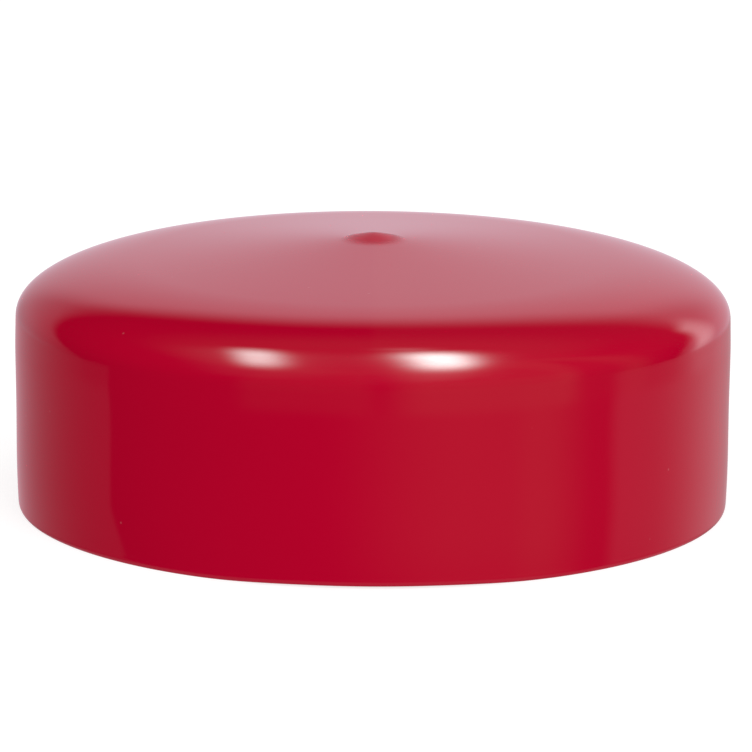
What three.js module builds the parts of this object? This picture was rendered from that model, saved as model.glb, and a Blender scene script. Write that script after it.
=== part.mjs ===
// A protective end cap for the end of a 4 inch pipe or flange stub, dip-moulded in red vinyl.
// The whole cap is one seamless skin: a closed, slightly conical end, a round shoulder and a skirt
// that is pulled over the pipe. It stands on its mouth, closed end up.
// Units are millimetres and +Z is up. The origin is the centre of the mouth, on its plane.

import * as THREE from "three";

// Driving dimensions.
const BORE_DIAMETER = 101.6; // the pipe that the skirt grips
const WALL = 2.2; // skin thickness at the top of the skirt
const MOUTH_WALL = 1.8; // the skin thins a little towards the mouth
const CROWN_HEIGHT = 39.7; // outside, from the mouth's plane to the tip of the crown's cone
const END_THICKNESS = 2.8; // skin thickness in the middle of the closed end
const CROWN_SLOPE = 4.64; // degrees, so that the molten vinyl ran to the middle of the end
const FORMER_SLOPE = 3.8; // degrees, the same slope on the inside, as the moulding former left it
const SHOULDER_START = 34; // radius at which the crown begins to curve down
const INSIDE_SHOULDER_START = 33.5;
const SHOULDER_DROP = 6.94; // how far the shoulder falls below the line of the crown
const SHOULDER_POWER = 2.24; // 2 is an ellipse; a little more makes the corner fuller
const NUB_RADIUS = 5.4; // foot of the drip nub at the tip of the crown
const NUB_HEIGHT = 0.95;
const MOUTH_OUTER_ROUND = 0.5; // rounded edges of the mouth
const MOUTH_INNER_ROUND = 0.3;

// Fineness of the faceted solid.
const AROUND = 72;
const SHOULDER_STEPS = 9;
const NUB_STEPS = 4;
const EDGE_STEPS = 3;

// Worked out from the driving dimensions.
const boreRadius = BORE_DIAMETER / 2;
const outerRadius = boreRadius + WALL;
const mouthRadius = boreRadius + MOUTH_WALL;
const crownFall = Math.tan(THREE.MathUtils.degToRad(CROWN_SLOPE));
const formerFall = Math.tan(THREE.MathUtils.degToRad(FORMER_SLOPE));
const shoulderFoot = CROWN_HEIGHT - crownFall * outerRadius - SHOULDER_DROP;
const insideHeight = CROWN_HEIGHT - END_THICKNESS;
const insideShoulderDrop = insideHeight - formerFall * boreRadius - shoulderFoot;

// A crown's shoulder, from the crown's cone at radius `start` to the vertical wall at radius `end`:
// one quarter of a superellipse laid on the slope of the cone.
function shoulder({ height, fall, start, end, drop }) {
  const points = [];
  for (let i = 0; i <= SHOULDER_STEPS; i++) {
    const turn = (i / SHOULDER_STEPS) * (Math.PI / 2);
    const across = Math.sin(turn) ** (2 / SHOULDER_POWER);
    const upright = Math.cos(turn) ** (2 / SHOULDER_POWER);
    const radius = start + (end - start) * across;
    points.push(new THREE.Vector2(radius, height - fall * radius - drop * (1 - upright)));
  }
  return points;
}

// The drip nub: a low bell on the tip of the cone, from its foot up to the axis.
function nub() {
  const points = [];
  for (let i = NUB_STEPS; i >= 0; i--) {
    const radius = (NUB_RADIUS * i) / NUB_STEPS;
    const bell = (NUB_HEIGHT / 2) * (1 + Math.cos((Math.PI * i) / NUB_STEPS));
    points.push(new THREE.Vector2(radius, CROWN_HEIGHT - crownFall * radius + bell));
  }
  return points;
}

// A quarter round at the mouth about (x, y), from one angle to the other in quarter turns.
function mouthEdge(x, y, size, from, to) {
  const points = [];
  for (let i = 0; i <= EDGE_STEPS; i++) {
    const turn = (from + ((to - from) * i) / EDGE_STEPS) * (Math.PI / 2);
    points.push(new THREE.Vector2(x + size * Math.cos(turn), y + size * Math.sin(turn)));
  }
  return points;
}

// The section of the skin: out along the inside of the end, down the bore, round the mouth,
// up the outside of the skirt and in over the crown. It starts and ends on the axis.
function skinSection() {
  const insideEnd = shoulder({
    height: insideHeight,
    fall: formerFall,
    start: INSIDE_SHOULDER_START,
    end: boreRadius,
    drop: insideShoulderDrop,
  });
  const outsideEnd = shoulder({
    height: CROWN_HEIGHT,
    fall: crownFall,
    start: SHOULDER_START,
    end: outerRadius,
    drop: SHOULDER_DROP,
  });
  return [
    new THREE.Vector2(0, insideHeight),
    ...insideEnd,
    ...mouthEdge(boreRadius + MOUTH_INNER_ROUND, MOUTH_INNER_ROUND, MOUTH_INNER_ROUND, 2, 3),
    ...mouthEdge(mouthRadius - MOUTH_OUTER_ROUND, MOUTH_OUTER_ROUND, MOUTH_OUTER_ROUND, 3, 4),
    ...outsideEnd.reverse(),
    ...nub(),
  ];
}

// Red plasticised PVC with the gloss of a dipped skin.
function redVinyl() {
  return new THREE.MeshStandardMaterial({ color: 0xb4142a, roughness: 0.18, metalness: 0 });
}

function cap() {
  const geometry = new THREE.LatheGeometry(skinSection(), AROUND);
  geometry.rotateX(Math.PI / 2); // the lathe turns about Y, and the cap's axis is Z
  const mesh = new THREE.Mesh(geometry, redVinyl());
  mesh.name = "cap";
  return mesh;
}

const endCap = new THREE.Group();
endCap.add(cap());

export default endCap;
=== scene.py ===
"""A red dip-moulded vinyl end cap, standing on its mouth in a plain pale studio.

The cap is one seamless skin, so one closed mesh stands for the one CAD node. Lengths are in metres,
+Z is up, and the origin is the centre of the mouth on the floor. The front is the -Y side.
"""

import math

import bpy
import numpy as np
from mathutils import Matrix, Vector


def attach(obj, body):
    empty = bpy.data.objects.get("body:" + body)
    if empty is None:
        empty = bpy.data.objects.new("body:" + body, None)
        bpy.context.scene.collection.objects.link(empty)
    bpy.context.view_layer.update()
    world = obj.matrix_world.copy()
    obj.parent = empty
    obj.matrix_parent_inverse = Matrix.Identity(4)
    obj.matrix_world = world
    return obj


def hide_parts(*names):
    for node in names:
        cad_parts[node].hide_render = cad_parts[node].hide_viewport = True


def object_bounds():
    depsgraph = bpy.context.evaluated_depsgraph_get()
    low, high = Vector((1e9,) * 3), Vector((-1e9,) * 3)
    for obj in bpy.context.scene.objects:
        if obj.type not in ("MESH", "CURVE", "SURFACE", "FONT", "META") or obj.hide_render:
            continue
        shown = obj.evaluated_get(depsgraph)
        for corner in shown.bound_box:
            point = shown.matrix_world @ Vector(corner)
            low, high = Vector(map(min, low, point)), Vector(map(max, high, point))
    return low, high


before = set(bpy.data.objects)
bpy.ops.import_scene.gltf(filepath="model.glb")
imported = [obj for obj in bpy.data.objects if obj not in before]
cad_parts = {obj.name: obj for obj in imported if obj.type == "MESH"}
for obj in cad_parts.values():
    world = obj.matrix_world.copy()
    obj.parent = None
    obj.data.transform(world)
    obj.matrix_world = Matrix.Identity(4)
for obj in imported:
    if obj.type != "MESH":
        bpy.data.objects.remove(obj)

MM = 0.001
cad_low, cad_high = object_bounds()

# The cap's own dimensions. Its widest radius and the height of its tip come from the CAD model.
OUTER_RADIUS = (cad_high.x - cad_low.x) / 2
CAD_NUB_HEIGHT = 0.95 * MM
CROWN_HEIGHT = cad_high.z - CAD_NUB_HEIGHT  # the tip of the crown's cone, under the nub
NUB_HEIGHT = 0.55 * MM  # lower than the CAD model's, as the photo shows it
NUB_RADIUS = 5.4 * MM
TIP_BEHIND = 2.0 * MM  # the crown's tip, with its nub, sits this far behind the middle
CROWN_SLOPE = math.tan(math.radians(4.64))
SHOULDER_START = 34.0 * MM
SHOULDER_DROP = 6.94 * MM
SHOULDER_POWER = 2.24  # 2 is an ellipse, and more is squarer
BORE_RADIUS = 50.8 * MM
END_THICKNESS = 2.8 * MM
FORMER_SLOPE = math.tan(math.radians(3.8))
INSIDE_SHOULDER_START = 33.5 * MM
FOOT_EASE = 0.12 * MM  # the shoulder is drawn in by this much, so that it runs out softly
FOOT_EASE_SPAN = (-5.0 * MM, 2.0 * MM)  # from below to above the foot of the shoulder
WAIST_DEPTH = 0.11 * MM  # the skirt is this much narrower from the waist down
WAIST_HEIGHT = 14.0 * MM
WAIST_BELOW = 3.0 * MM  # the narrowing begins this far below the foot of the shoulder
MOUTH_TUCK = 0.24 * MM  # and the skirt draws in again at the mouth
MOUTH_TUCK_HEIGHT = 9.0 * MM
MOUTH_OUTER_ROUND = (0.35 * MM, 0.9 * MM)  # how far it reaches in and up
MOUTH_INNER_ROUND = (0.4 * MM, 0.4 * MM)
ARCH_HEIGHT = 0.3 * MM  # the rim lifts this much off the floor at the front and the back
ARCH_WIDTH = 20.0  # degrees either side
ARCH_FADE = 20.0 * MM  # the height at which the skirt no longer lifts

# Fineness of the mesh.
AROUND = 256
NUB_RINGS = 24
CONE_RINGS = 12
SHOULDER_RINGS = 56
SKIRT_RINGS = 48
EDGE_RINGS = 10
INSIDE_RINGS = 40
END_RINGS = 7

# The look of the vinyl: red, green and blue, and roughness.
RED_DARKER = (0.390, 0.0004, 0.0185)
RED_LIGHTER = (0.415, 0.0006, 0.0205)
SPECK_COLOUR = (0.55, 0.16, 0.18)
SPECK_STRENGTH = 0.3
GLOSS = 0.05
GLOSS_UNEVENNESS = 0.03
NUB_DULLNESS = 0.32
INSIDE_DULLNESS = 0.3

# The studio. The tints are the red, green and blue of each light as the vinyl's gloss shows it.
WHITE = 1.02  # how bright the backdrop is to the camera
AMBIENT = 0.74
KEY = 1.71
RIM = 0.38
FLOOR_COLOUR = 0.35
FLOOR_GLOW = 0.75
FLOOR_TINT = (1.58, 1.0, 1.14)
SWEEP_TINT = (1.24, 1.0, 1.14)
LAMP_TINT = (0.75, 1.0, 0.97)
ROOM_TINT = (1.15, 1.0, 0.6)
FLOOR_EDGE = -12.4  # below this elevation, in degrees, the gloss shows only the floor
WALL_FOOT = -8.0  # and above this one it shows none of the floor

# The camera. Distance and height are in outer radii of the cap, and angles in degrees.
CAMERA_ELEVATION = 12.559
CAMERA_TURN = 0.033
CAMERA_ROLL = 0.312
CAMERA_DISTANCE = 16.0
CAMERA_AIM = 0.3571  # the height, on the cap's axis, that it looks at before the small turn
CAMERA_LENS = 273.25  # in mm


# ---------------------------------------------------------------- the cap's shape

def smooth(value, low, high):
    """0 below low, 1 above high, with a smooth step between."""
    part = np.clip((value - low) / (high - low), 0.0, 1.0)
    return part * part * (3 - 2 * part)


def shoulder(height, slope, start, end, drop, rings):
    """Radius and height down a crown's shoulder, a quarter superellipse laid on the crown's slope."""
    turn = np.linspace(0.0, math.pi / 2, rings + 1)
    across = np.sin(turn) ** (2 / SHOULDER_POWER)
    upright = np.cos(turn) ** (2 / SHOULDER_POWER)
    radius = start + (end - start) * across
    return radius, height - slope * radius - drop * (1 - upright)


def eased(height, foot):
    """How far the outside is drawn in, from just below the foot of the shoulder upwards."""
    low, high = FOOT_EASE_SPAN
    return FOOT_EASE * smooth(height, foot + low, foot + high)


def outside_section():
    """The outside, from the nub's tip down to the start of the mouth's rounded edge."""
    nub_radius = NUB_RADIUS * np.linspace(0, 1, NUB_RINGS + 1)
    bell = NUB_HEIGHT / 2 * (1 + np.cos(math.pi * nub_radius / NUB_RADIUS))
    nub_height = CROWN_HEIGHT - CROWN_SLOPE * nub_radius + bell
    cone_radius = np.linspace(NUB_RADIUS, SHOULDER_START, CONE_RINGS + 1)[1:-1]
    cone_height = CROWN_HEIGHT - CROWN_SLOPE * cone_radius
    bend_radius, bend_height = shoulder(
        CROWN_HEIGHT, CROWN_SLOPE, SHOULDER_START, OUTER_RADIUS, SHOULDER_DROP, SHOULDER_RINGS
    )
    foot = bend_height[-1]
    skirt_height = np.linspace(foot, MOUTH_OUTER_ROUND[1], SKIRT_RINGS + 1)[1:]
    waist = WAIST_DEPTH * (1 - smooth(skirt_height, WAIST_HEIGHT, foot - WAIST_BELOW))
    tuck = MOUTH_TUCK * np.clip(1 - skirt_height / MOUTH_TUCK_HEIGHT, 0, 1) ** 2
    skirt_radius = OUTER_RADIUS - waist - tuck
    bend_radius -= eased(bend_height, foot)
    skirt_radius -= eased(skirt_height, foot)
    radius = np.concatenate([nub_radius, cone_radius, bend_radius, skirt_radius])
    height = np.concatenate([nub_height, cone_height, bend_height, skirt_height])
    return radius, height


def rounded_edge(radius, size, start, end):
    """A round of the mouth about the given radius, between two angles in degrees from outwards."""
    turn = np.radians(np.linspace(start, end, EDGE_RINGS + 1))
    return radius + size[0] * np.cos(turn), size[1] + size[1] * np.sin(turn)


def inside_section():
    """The inside, from the mouth up the straight bore and in to the middle of the closed end."""
    foot = CROWN_HEIGHT - CROWN_SLOPE * OUTER_RADIUS - SHOULDER_DROP
    height = CROWN_HEIGHT - END_THICKNESS
    drop = height - FORMER_SLOPE * BORE_RADIUS - foot
    bore_height = np.linspace(MOUTH_INNER_ROUND[1], foot, INSIDE_RINGS // 2)[1:-1]
    bore_radius = np.full_like(bore_height, BORE_RADIUS)
    bend_radius, bend_height = shoulder(
        height, FORMER_SLOPE, INSIDE_SHOULDER_START, BORE_RADIUS, drop, INSIDE_RINGS
    )
    end_radius = np.linspace(INSIDE_SHOULDER_START, 0, END_RINGS + 1)[1:]
    end_height = height - FORMER_SLOPE * end_radius
    radius = np.concatenate([bore_radius, bend_radius[::-1], end_radius])
    return radius, np.concatenate([bore_height, bend_height[::-1], end_height])


def skin_section():
    """The whole section, from the axis outside to the axis inside, and how many points are outside."""
    out_radius, out_height = outside_section()
    outer_edge = rounded_edge(out_radius[-1] - MOUTH_OUTER_ROUND[0], MOUTH_OUTER_ROUND, 0, -90)
    inner_edge = rounded_edge(BORE_RADIUS + MOUTH_INNER_ROUND[0], MOUTH_INNER_ROUND, -90, -180)
    in_radius, in_height = inside_section()
    radius = np.concatenate([out_radius, outer_edge[0][1:], inner_edge[0], in_radius])
    height = np.concatenate([out_height, outer_edge[1][1:], inner_edge[1], in_height])
    return radius, height, len(out_radius) + EDGE_RINGS


def arched(height, angle):
    """Heights with the mouth's rim lifted at the front and the back. The lift fades up the skirt."""
    off_axis = np.degrees(np.arccos(np.abs(np.sin(angle)).clip(0, 1)))
    lift = ARCH_HEIGHT * np.exp(-((off_axis / ARCH_WIDTH) ** 4))
    return height + lift * (1 - smooth(height, 0.0, ARCH_FADE))


def set_back(radius, height):
    """How far each ring of the crown's outside sits behind the middle.

    It is all of TIP_BEHIND at the tip, and nothing from the shoulder outwards or on the inside.
    """
    outside = height > CROWN_HEIGHT - CROWN_SLOPE * radius - END_THICKNESS / 2
    return TIP_BEHIND * (1 - smooth(radius, 0.0, SHOULDER_START)) * outside


def turned_mesh(name, radius, height):
    """A closed mesh: the section, which starts and ends on the axis, turned about Z."""
    angle = np.linspace(0, 2 * math.pi, AROUND, endpoint=False)
    ring_radius = radius[1:-1, None]
    ring_height = height[1:-1, None]
    rings = len(ring_radius)
    points = np.empty((rings, AROUND, 3))
    points[..., 0] = ring_radius * np.cos(angle)
    points[..., 1] = ring_radius * np.sin(angle) + set_back(ring_radius, ring_height)
    points[..., 2] = arched(ring_height, angle)
    ends = [[0, TIP_BEHIND, height[0]], [0, 0, height[-1]]]
    vertices = np.vstack([points.reshape(-1, 3), ends])
    tip = rings * AROUND  # places in the list of vertices, as are ring and after below
    inside_tip = tip + 1
    last_ring = (rings - 1) * AROUND
    faces = []
    for side in range(AROUND):
        other = (side + 1) % AROUND
        faces.append((tip, side, other))
        for ring in range(0, last_ring, AROUND):
            after = ring + AROUND
            faces.append((ring + side, after + side, after + other, ring + other))
        faces.append((inside_tip, last_ring + other, last_ring + side))
    mesh = bpy.data.meshes.new(name)
    mesh.from_pydata(vertices.tolist(), [], faces)
    mesh.polygons.foreach_set("use_smooth", [True] * len(mesh.polygons))
    mesh.validate()
    return mesh


def make_cap():
    """The cap, with its first material on the outside and its second on the inside."""
    radius, height, outside_count = skin_section()
    mesh = turned_mesh("vinyl_cap", radius, height)
    mesh.materials.append(vinyl("gloss_vinyl", 0.0))  # as the dip left it
    mesh.materials.append(vinyl("satin_vinyl", INSIDE_DULLNESS))  # as the former left it
    inside = np.arange(len(radius) - 1) >= outside_count
    mesh.polygons.foreach_set("material_index", np.tile(inside, AROUND).astype(int))
    return add_object("vinyl_cap", mesh)


# ---------------------------------------------------------------- small helpers

def add_object(name, data):
    new = bpy.data.objects.new(name, data)
    bpy.context.scene.collection.objects.link(new)
    return new


def add_node(tree, kind, **inputs):
    node = tree.nodes.new(kind)
    for name, value in inputs.items():
        node.inputs[name].default_value = value
    return node


def split_vector(tree, socket):
    """The X, Y and Z of a vector."""
    node = tree.nodes.new("ShaderNodeSeparateXYZ")
    tree.links.new(socket, node.inputs[0])
    return [Field(tree, output) for output in node.outputs]


def blend(tree, factor, first, second):
    """A mix of two colours, each of which is a socket or its red, green and blue."""
    node = tree.nodes.new("ShaderNodeMix")
    node.data_type = "RGBA"
    tree.links.new(factor, node.inputs["Factor"])
    for place, colour in (("A", first), ("B", second)):
        if isinstance(colour, tuple):
            node.inputs[place].default_value = (*colour, 1)
        else:
            tree.links.new(colour, node.inputs[place])
    return node.outputs["Result"]


class Field:
    """A number at every point or direction, as a socket of a node tree. Arithmetic adds Math nodes."""

    def __init__(self, tree, socket):
        self.tree = tree
        self.socket = socket

    def maths(self, operation, *others):
        node = self.tree.nodes.new("ShaderNodeMath")
        node.operation = operation
        for place, value in zip(node.inputs, (self, *others)):
            if isinstance(value, Field):
                self.tree.links.new(value.socket, place)
            else:
                place.default_value = value
        return Field(self.tree, node.outputs[0])

    def __add__(self, other):
        return self.maths("ADD", other)

    def __sub__(self, other):
        return self.maths("SUBTRACT", other)

    def __mul__(self, other):
        return self.maths("MULTIPLY", other)

    def __truediv__(self, other):
        return self.maths("DIVIDE", other)

    def __pow__(self, other):
        return self.maths("POWER", other)

    def __neg__(self):
        return self.maths("MULTIPLY", -1.0)

    def __abs__(self):
        return self.maths("ABSOLUTE")

    def exp(self):
        return self.maths("EXPONENT")

    def at_least(self, low):
        return self.maths("MAXIMUM", low)

    def at_most(self, high):
        return self.maths("MINIMUM", high)

    def step(self, low, high):
        """A smooth step from 0 at low to 1 at high; low may be the greater, for a step down."""
        node = self.tree.nodes.new("ShaderNodeMapRange")
        node.interpolation_type = "SMOOTHSTEP"
        flip = low > high
        self.tree.links.new(self.socket, node.inputs["Value"])
        node.inputs["From Min"].default_value = min(low, high)
        node.inputs["From Max"].default_value = max(low, high)
        node.inputs["To Min"].default_value = 1.0 if flip else 0.0
        node.inputs["To Max"].default_value = 0.0 if flip else 1.0
        return Field(self.tree, node.outputs["Result"])

    def between(self, low, high, soft):
        """1 between low and high, falling smoothly to 0 over soft outside each."""
        return self.step(low - soft, low + soft) * self.step(high + soft, high - soft)


# ---------------------------------------------------------------- the vinyl

def vinyl(name, dullness):
    """Red vinyl, a little mottled, with faint orange peel, a few pale specks and a duller nub."""
    material = bpy.data.materials.new(name)
    material.use_nodes = True
    tree = material.node_tree
    shader = tree.nodes["Principled BSDF"]
    shader.inputs["IOR"].default_value = 1.5
    place = tree.nodes.new("ShaderNodeTexCoord").outputs["Object"]

    flow = add_node(tree, "ShaderNodeTexNoise", Scale=22.0, Detail=3.0, Roughness=0.5)
    tree.links.new(place, flow.inputs["Vector"])
    mottled = blend(tree, flow.outputs["Fac"], RED_DARKER, RED_LIGHTER)

    dots = add_node(tree, "ShaderNodeTexVoronoi", Scale=210.0)
    tree.links.new(place, dots.inputs["Vector"])
    half_of_them = Field(tree, dots.outputs["Color"]).maths("GREATER_THAN", 0.5)
    speck = Field(tree, dots.outputs["Distance"]).step(0.055, 0.02) * half_of_them * SPECK_STRENGTH
    specked = blend(tree, speck.socket, mottled, SPECK_COLOUR)
    tree.links.new(specked, shader.inputs["Base Color"])

    x, y = split_vector(tree, place)[:2]
    y = y - TIP_BEHIND
    off_centre = (x * x + y * y).maths("SQRT")
    dull_nub = off_centre.step(NUB_RADIUS * 1.1, NUB_RADIUS * 0.5) * NUB_DULLNESS
    roughness = Field(tree, flow.outputs["Fac"]) * GLOSS_UNEVENNESS + GLOSS + dull_nub + dullness
    tree.links.new(roughness.socket, shader.inputs["Roughness"])

    peel = add_node(tree, "ShaderNodeTexNoise", Scale=160.0, Detail=1.0, Roughness=0.4)
    tree.links.new(place, peel.inputs["Vector"])
    bump = add_node(tree, "ShaderNodeBump", Strength=0.12, Distance=0.02 * MM)
    tree.links.new(peel.outputs["Fac"], bump.inputs["Height"])
    tree.links.new(bump.outputs["Normal"], shader.inputs["Normal"])
    return material


# ---------------------------------------------------------------- the studio
#
# Below, front and behind are azimuths and height is an elevation, all in degrees, as step and
# between take them. The plain factors are how bright each part of the studio is.

def studio_world():
    """An even surround, white to the camera. Only the gloss sees what studio_light describes."""
    world = bpy.data.worlds.new("studio")
    bpy.context.scene.world = world
    world.use_nodes = True
    world.cycles.sampling_method = "NONE"  # so that the gloss sees nothing but what it reflects
    tree = world.node_tree
    tree.nodes.clear()
    direction = tree.nodes.new("ShaderNodeTexCoord").outputs["Generated"]
    lights = tree.nodes.new("ShaderNodeCombineXYZ")
    for light, channel in zip(studio_light(*split_vector(tree, direction)), lights.inputs):
        tree.links.new(light.socket, channel)
    rays = tree.nodes.new("ShaderNodeLightPath")
    surround = blend(tree, rays.outputs["Is Camera Ray"], (AMBIENT,) * 3, (WHITE,) * 3)
    seen = blend(tree, rays.outputs["Is Glossy Ray"], surround, lights.outputs[0])
    background = tree.nodes.new("ShaderNodeBackground")
    tree.links.new(seen, background.inputs["Color"])
    output = tree.nodes.new("ShaderNodeOutputWorld")
    tree.links.new(background.outputs[0], output.inputs["Surface"])


def studio_light(x, y, z):
    """What the gloss shows, in red, green and blue: a white sweep behind, two long lamps overhead, a
    strip at the back right, a dim room in front, and the floor."""
    degrees = 180 / math.pi
    height = z.maths("ARCSINE") * degrees
    front = x.maths("ARCTAN2", -y) * degrees  # 0 towards the camera's side, + to the right
    behind = x.maths("ARCTAN2", y) * degrees  # 0 straight behind, + to the right
    over_x = x / z.at_least(0.02)
    over_y = y / z.at_least(0.02)
    left_lamp = lamp(
        over_x, over_y, centre=(-0.350, 0.036), turn=16.3, bend=-0.19, width=0.086, peak=11.4,
        tail=(0.5, 3.0, 1.2),
    )
    right_lamp = lamp(
        over_x, over_y, centre=(0.209, 0.0), turn=-14.4, bend=0.0, width=0.099, peak=20.5,
        tail=(2.2, 1.55, 0.95),
    )
    lamps = (left_lamp + right_lamp) * height.step(8, 30)
    on_floor = height.step(WALL_FOOT, FLOOR_EDGE)
    sweep = white_sweep(behind, height) * height.step(FLOOR_EDGE, WALL_FOOT)
    floor = lit_floor(front, height) * on_floor
    room = front_haze(front, height) + room_floor(front, height) * on_floor
    white = strip(front, height) + ceiling_spot(over_x, over_y) * height.step(20, 40)
    return [
        sweep * sweep_tint + floor * floor_tint + lamps * lamp_tint + room * room_tint + white
        for sweep_tint, floor_tint, lamp_tint, room_tint
        in zip(SWEEP_TINT, FLOOR_TINT, LAMP_TINT, ROOM_TINT)
    ]


def lamp(x, y, centre, turn, bend, width, peak, tail):
    """A long lamp with hazy edges, on the plane one unit up, at the point x, y of that plane.

    turn is from the Y axis, in degrees, and bend curves the lamp. The back end is cut off. The
    front end widens and fades into a tail, whose own peak, width and length are given.
    """
    flare = 0.8
    length = 0.36
    cos_turn = math.cos(math.radians(turn))
    sin_turn = math.sin(math.radians(turn))
    dx = x - centre[0]
    dy = y - centre[1]
    along = dy * cos_turn + dx * sin_turn
    across = dx * cos_turn - dy * sin_turn - along * along * bend
    forward = -along
    aside = abs(across) / ((forward * flare + 1.0).at_least(0.3) * width)
    in_front = forward.at_least(0.0)
    bulb = (-(aside ** 2.4) - (in_front / length) ** 2.0).exp()
    tail_peak, tail_width, tail_length = tail
    haze = (-((aside / tail_width) ** 2.0) - in_front / tail_length).exp()
    return (bulb * peak + haze * tail_peak) * along.step(0.45, 0.15)


def ceiling_spot(x, y):
    """A small soft light on the same plane, between the lamps and behind them."""
    radius = 0.05
    dx = (x - 0.07) / radius
    dy = (y - 0.44) / radius
    return (-(dx * dx) - dy * dy).exp()


def front_haze(front, height):
    """The walls of the room in front: dim, and brighter to the right, where the edge of the bright
    part leans out as it rises. Over them is the ceiling."""
    lean = (height.at_least(0.0) * 0.07) ** 2.0
    left = front.between(-42, 0, 5) * 0.1
    right = front.step(0, 18) * (front - lean).step(72, 62) * (height.step(8, 24) * -0.07 + 0.28)
    aside = front.between(86, 96, 6) * 0.13 + front.step(58, 64) * front.step(115, 80) * 0.06
    walls = (left + right + aside) * height.step(75, 45)
    ceiling = height.step(44, 62) * 0.11 + front.step(60, 90) * height.step(5, 30) * 0.03
    return (walls + ceiling) * height.step(FLOOR_EDGE, -9)


def white_sweep(behind, height):
    """The curved white sweep behind the cap: a dome that is lower, with a sharper edge, at the left."""
    span = behind.step(-6, 6) * -3.0 + 70.0
    rise = behind.step(-25, -2) * 6.0 + 33.0
    top = (abs(behind / span) ** 3.0 * -1.0 + 1.0) * rise
    sharpness = behind.step(-20, -35) + 1.0
    shape = ((top - height - 3.0) * sharpness).step(-7, 7)
    level = (behind.step(-25, 0) * 0.17 + 0.50) * behind.step(-85, -30) * behind.step(70, 54)
    left_fade = (height.step(5, 30) * -0.42 - 0.08) * behind.step(-12, -22) + 1.0
    right_fade = height.step(5, 25) * behind.step(12, 25) * -0.35 + 1.0
    return shape * level * left_fade * right_fade


def near_the_cap(height):
    """The floor is dimmer close to the cap, where the gloss near the mouth sees it."""
    return height.step(-23, -15) * 0.4 + 0.6


def lit_floor(front, height):
    """The floor at the sides and behind: a dim panel each side, brighter further back. It is also
    bright straight below, where the round of the mouth looks."""
    panel_edge = front + (height + 14.5).at_most(0.0) * 1.5
    left = panel_edge.step(-91.5, -93.5) * (front.step(-95, -168) * 0.29 + 0.12)
    right = front.step(79, 87) * 0.21 + front.step(98, 135) * 0.23 - front.step(140, 165) * 0.1
    below = height.step(-22, -34) * 0.25
    return (left + right) * near_the_cap(height) + below


def room_floor(front, height):
    """The floor of the room in front, which is dark to the left and fades again to the far right."""
    level = front.step(-20, 30) * (front.step(60, 76) * -0.14 + 0.18) + front.between(48, 60, 5) * 0.06
    return level * near_the_cap(height)


def strip(front, height):
    """The narrow strip light at the back right, which leans back as it rises."""
    lean = (height.at_least(-10.0) / 35 + 10 / 35) ** 2.0 * 10
    place = front - lean
    glow = place.step(120, 128) * place.step(143, 128)
    level = height.step(-12, 2) * 0.7 + 0.5
    return glow * level * height.step(32, 25) * height.step(FLOOR_EDGE, -7)


def make_floor():
    """A wide pale floor, which glows so that it stays as white as the surround. Only the camera
    sees it: all that the cap reflects comes from studio_world."""
    mesh = bpy.data.meshes.new("floor")
    reach = 40.0
    corners = [(-reach, -reach, 0), (reach, -reach, 0), (reach, reach, 0), (-reach, reach, 0)]
    mesh.from_pydata(corners, [], [(0, 1, 2, 3)])
    material = bpy.data.materials.new("pale_floor")
    material.use_nodes = True
    shader = material.node_tree.nodes["Principled BSDF"]
    shader.inputs["Base Color"].default_value = (FLOOR_COLOUR, FLOOR_COLOUR, FLOOR_COLOUR, 1)
    shader.inputs["Roughness"].default_value = 1.0
    shader.inputs["Specular IOR Level"].default_value = 0.0
    shader.inputs["Emission Color"].default_value = (1, 1, 1, 1)
    shader.inputs["Emission Strength"].default_value = FLOOR_GLOW
    mesh.materials.append(material)
    floor = add_object("floor", mesh)
    floor.visible_glossy = False
    floor.visible_diffuse = False


def make_light(name, strength, azimuth, elevation, spread):
    """A soft far light that the gloss doesn't see. Angles are in degrees. The azimuth is 0 at the
    front and 90 at the right."""
    data = bpy.data.lights.new(name, "SUN")
    data.energy = strength
    data.angle = math.radians(spread)
    light = add_object(name, data)
    around = math.radians(azimuth)
    up = math.radians(elevation)
    towards = Vector((
        math.sin(around) * math.cos(up),
        -math.cos(around) * math.cos(up),
        math.sin(up),
    ))
    light.rotation_mode = "QUATERNION"
    light.rotation_quaternion = towards.to_track_quat("Z", "Y")
    light.visible_glossy = False


def make_camera():
    """A long lens from a little above, at the photograph's angle."""
    elevation = math.radians(CAMERA_ELEVATION)
    turn = math.radians(CAMERA_TURN)
    roll = math.radians(CAMERA_ROLL)
    distance = CAMERA_DISTANCE * OUTER_RADIUS
    data = bpy.data.cameras.new("camera")
    data.sensor_width = 36.0
    data.lens = CAMERA_LENS
    data.clip_start = 0.05
    data.clip_end = 200.0
    camera = add_object("camera", data)
    forward = Vector((
        math.sin(turn) * math.cos(elevation),
        math.cos(turn) * math.cos(elevation),
        -math.sin(elevation),
    ))
    level = Vector((math.cos(turn), -math.sin(turn), 0))
    up = level.cross(forward)
    right = level * math.cos(roll) + up * math.sin(roll)
    above = up * math.cos(roll) - level * math.sin(roll)
    camera.rotation_mode = "QUATERNION"
    camera.rotation_quaternion = Matrix((right, above, -forward)).transposed().to_quaternion()
    camera.location = (
        0,
        -distance * math.cos(elevation),
        distance * math.sin(elevation) + CAMERA_AIM * OUTER_RADIUS,
    )
    bpy.context.scene.camera = camera


make_camera()
cap = make_cap()
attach(cap, "root")
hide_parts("cap")
make_floor()
make_light("key", KEY, azimuth=20, elevation=31, spread=50)
make_light("rim", RIM, azimuth=128, elevation=8, spread=30)
studio_world()
bpy.context.scene.view_settings.view_transform = "Standard"
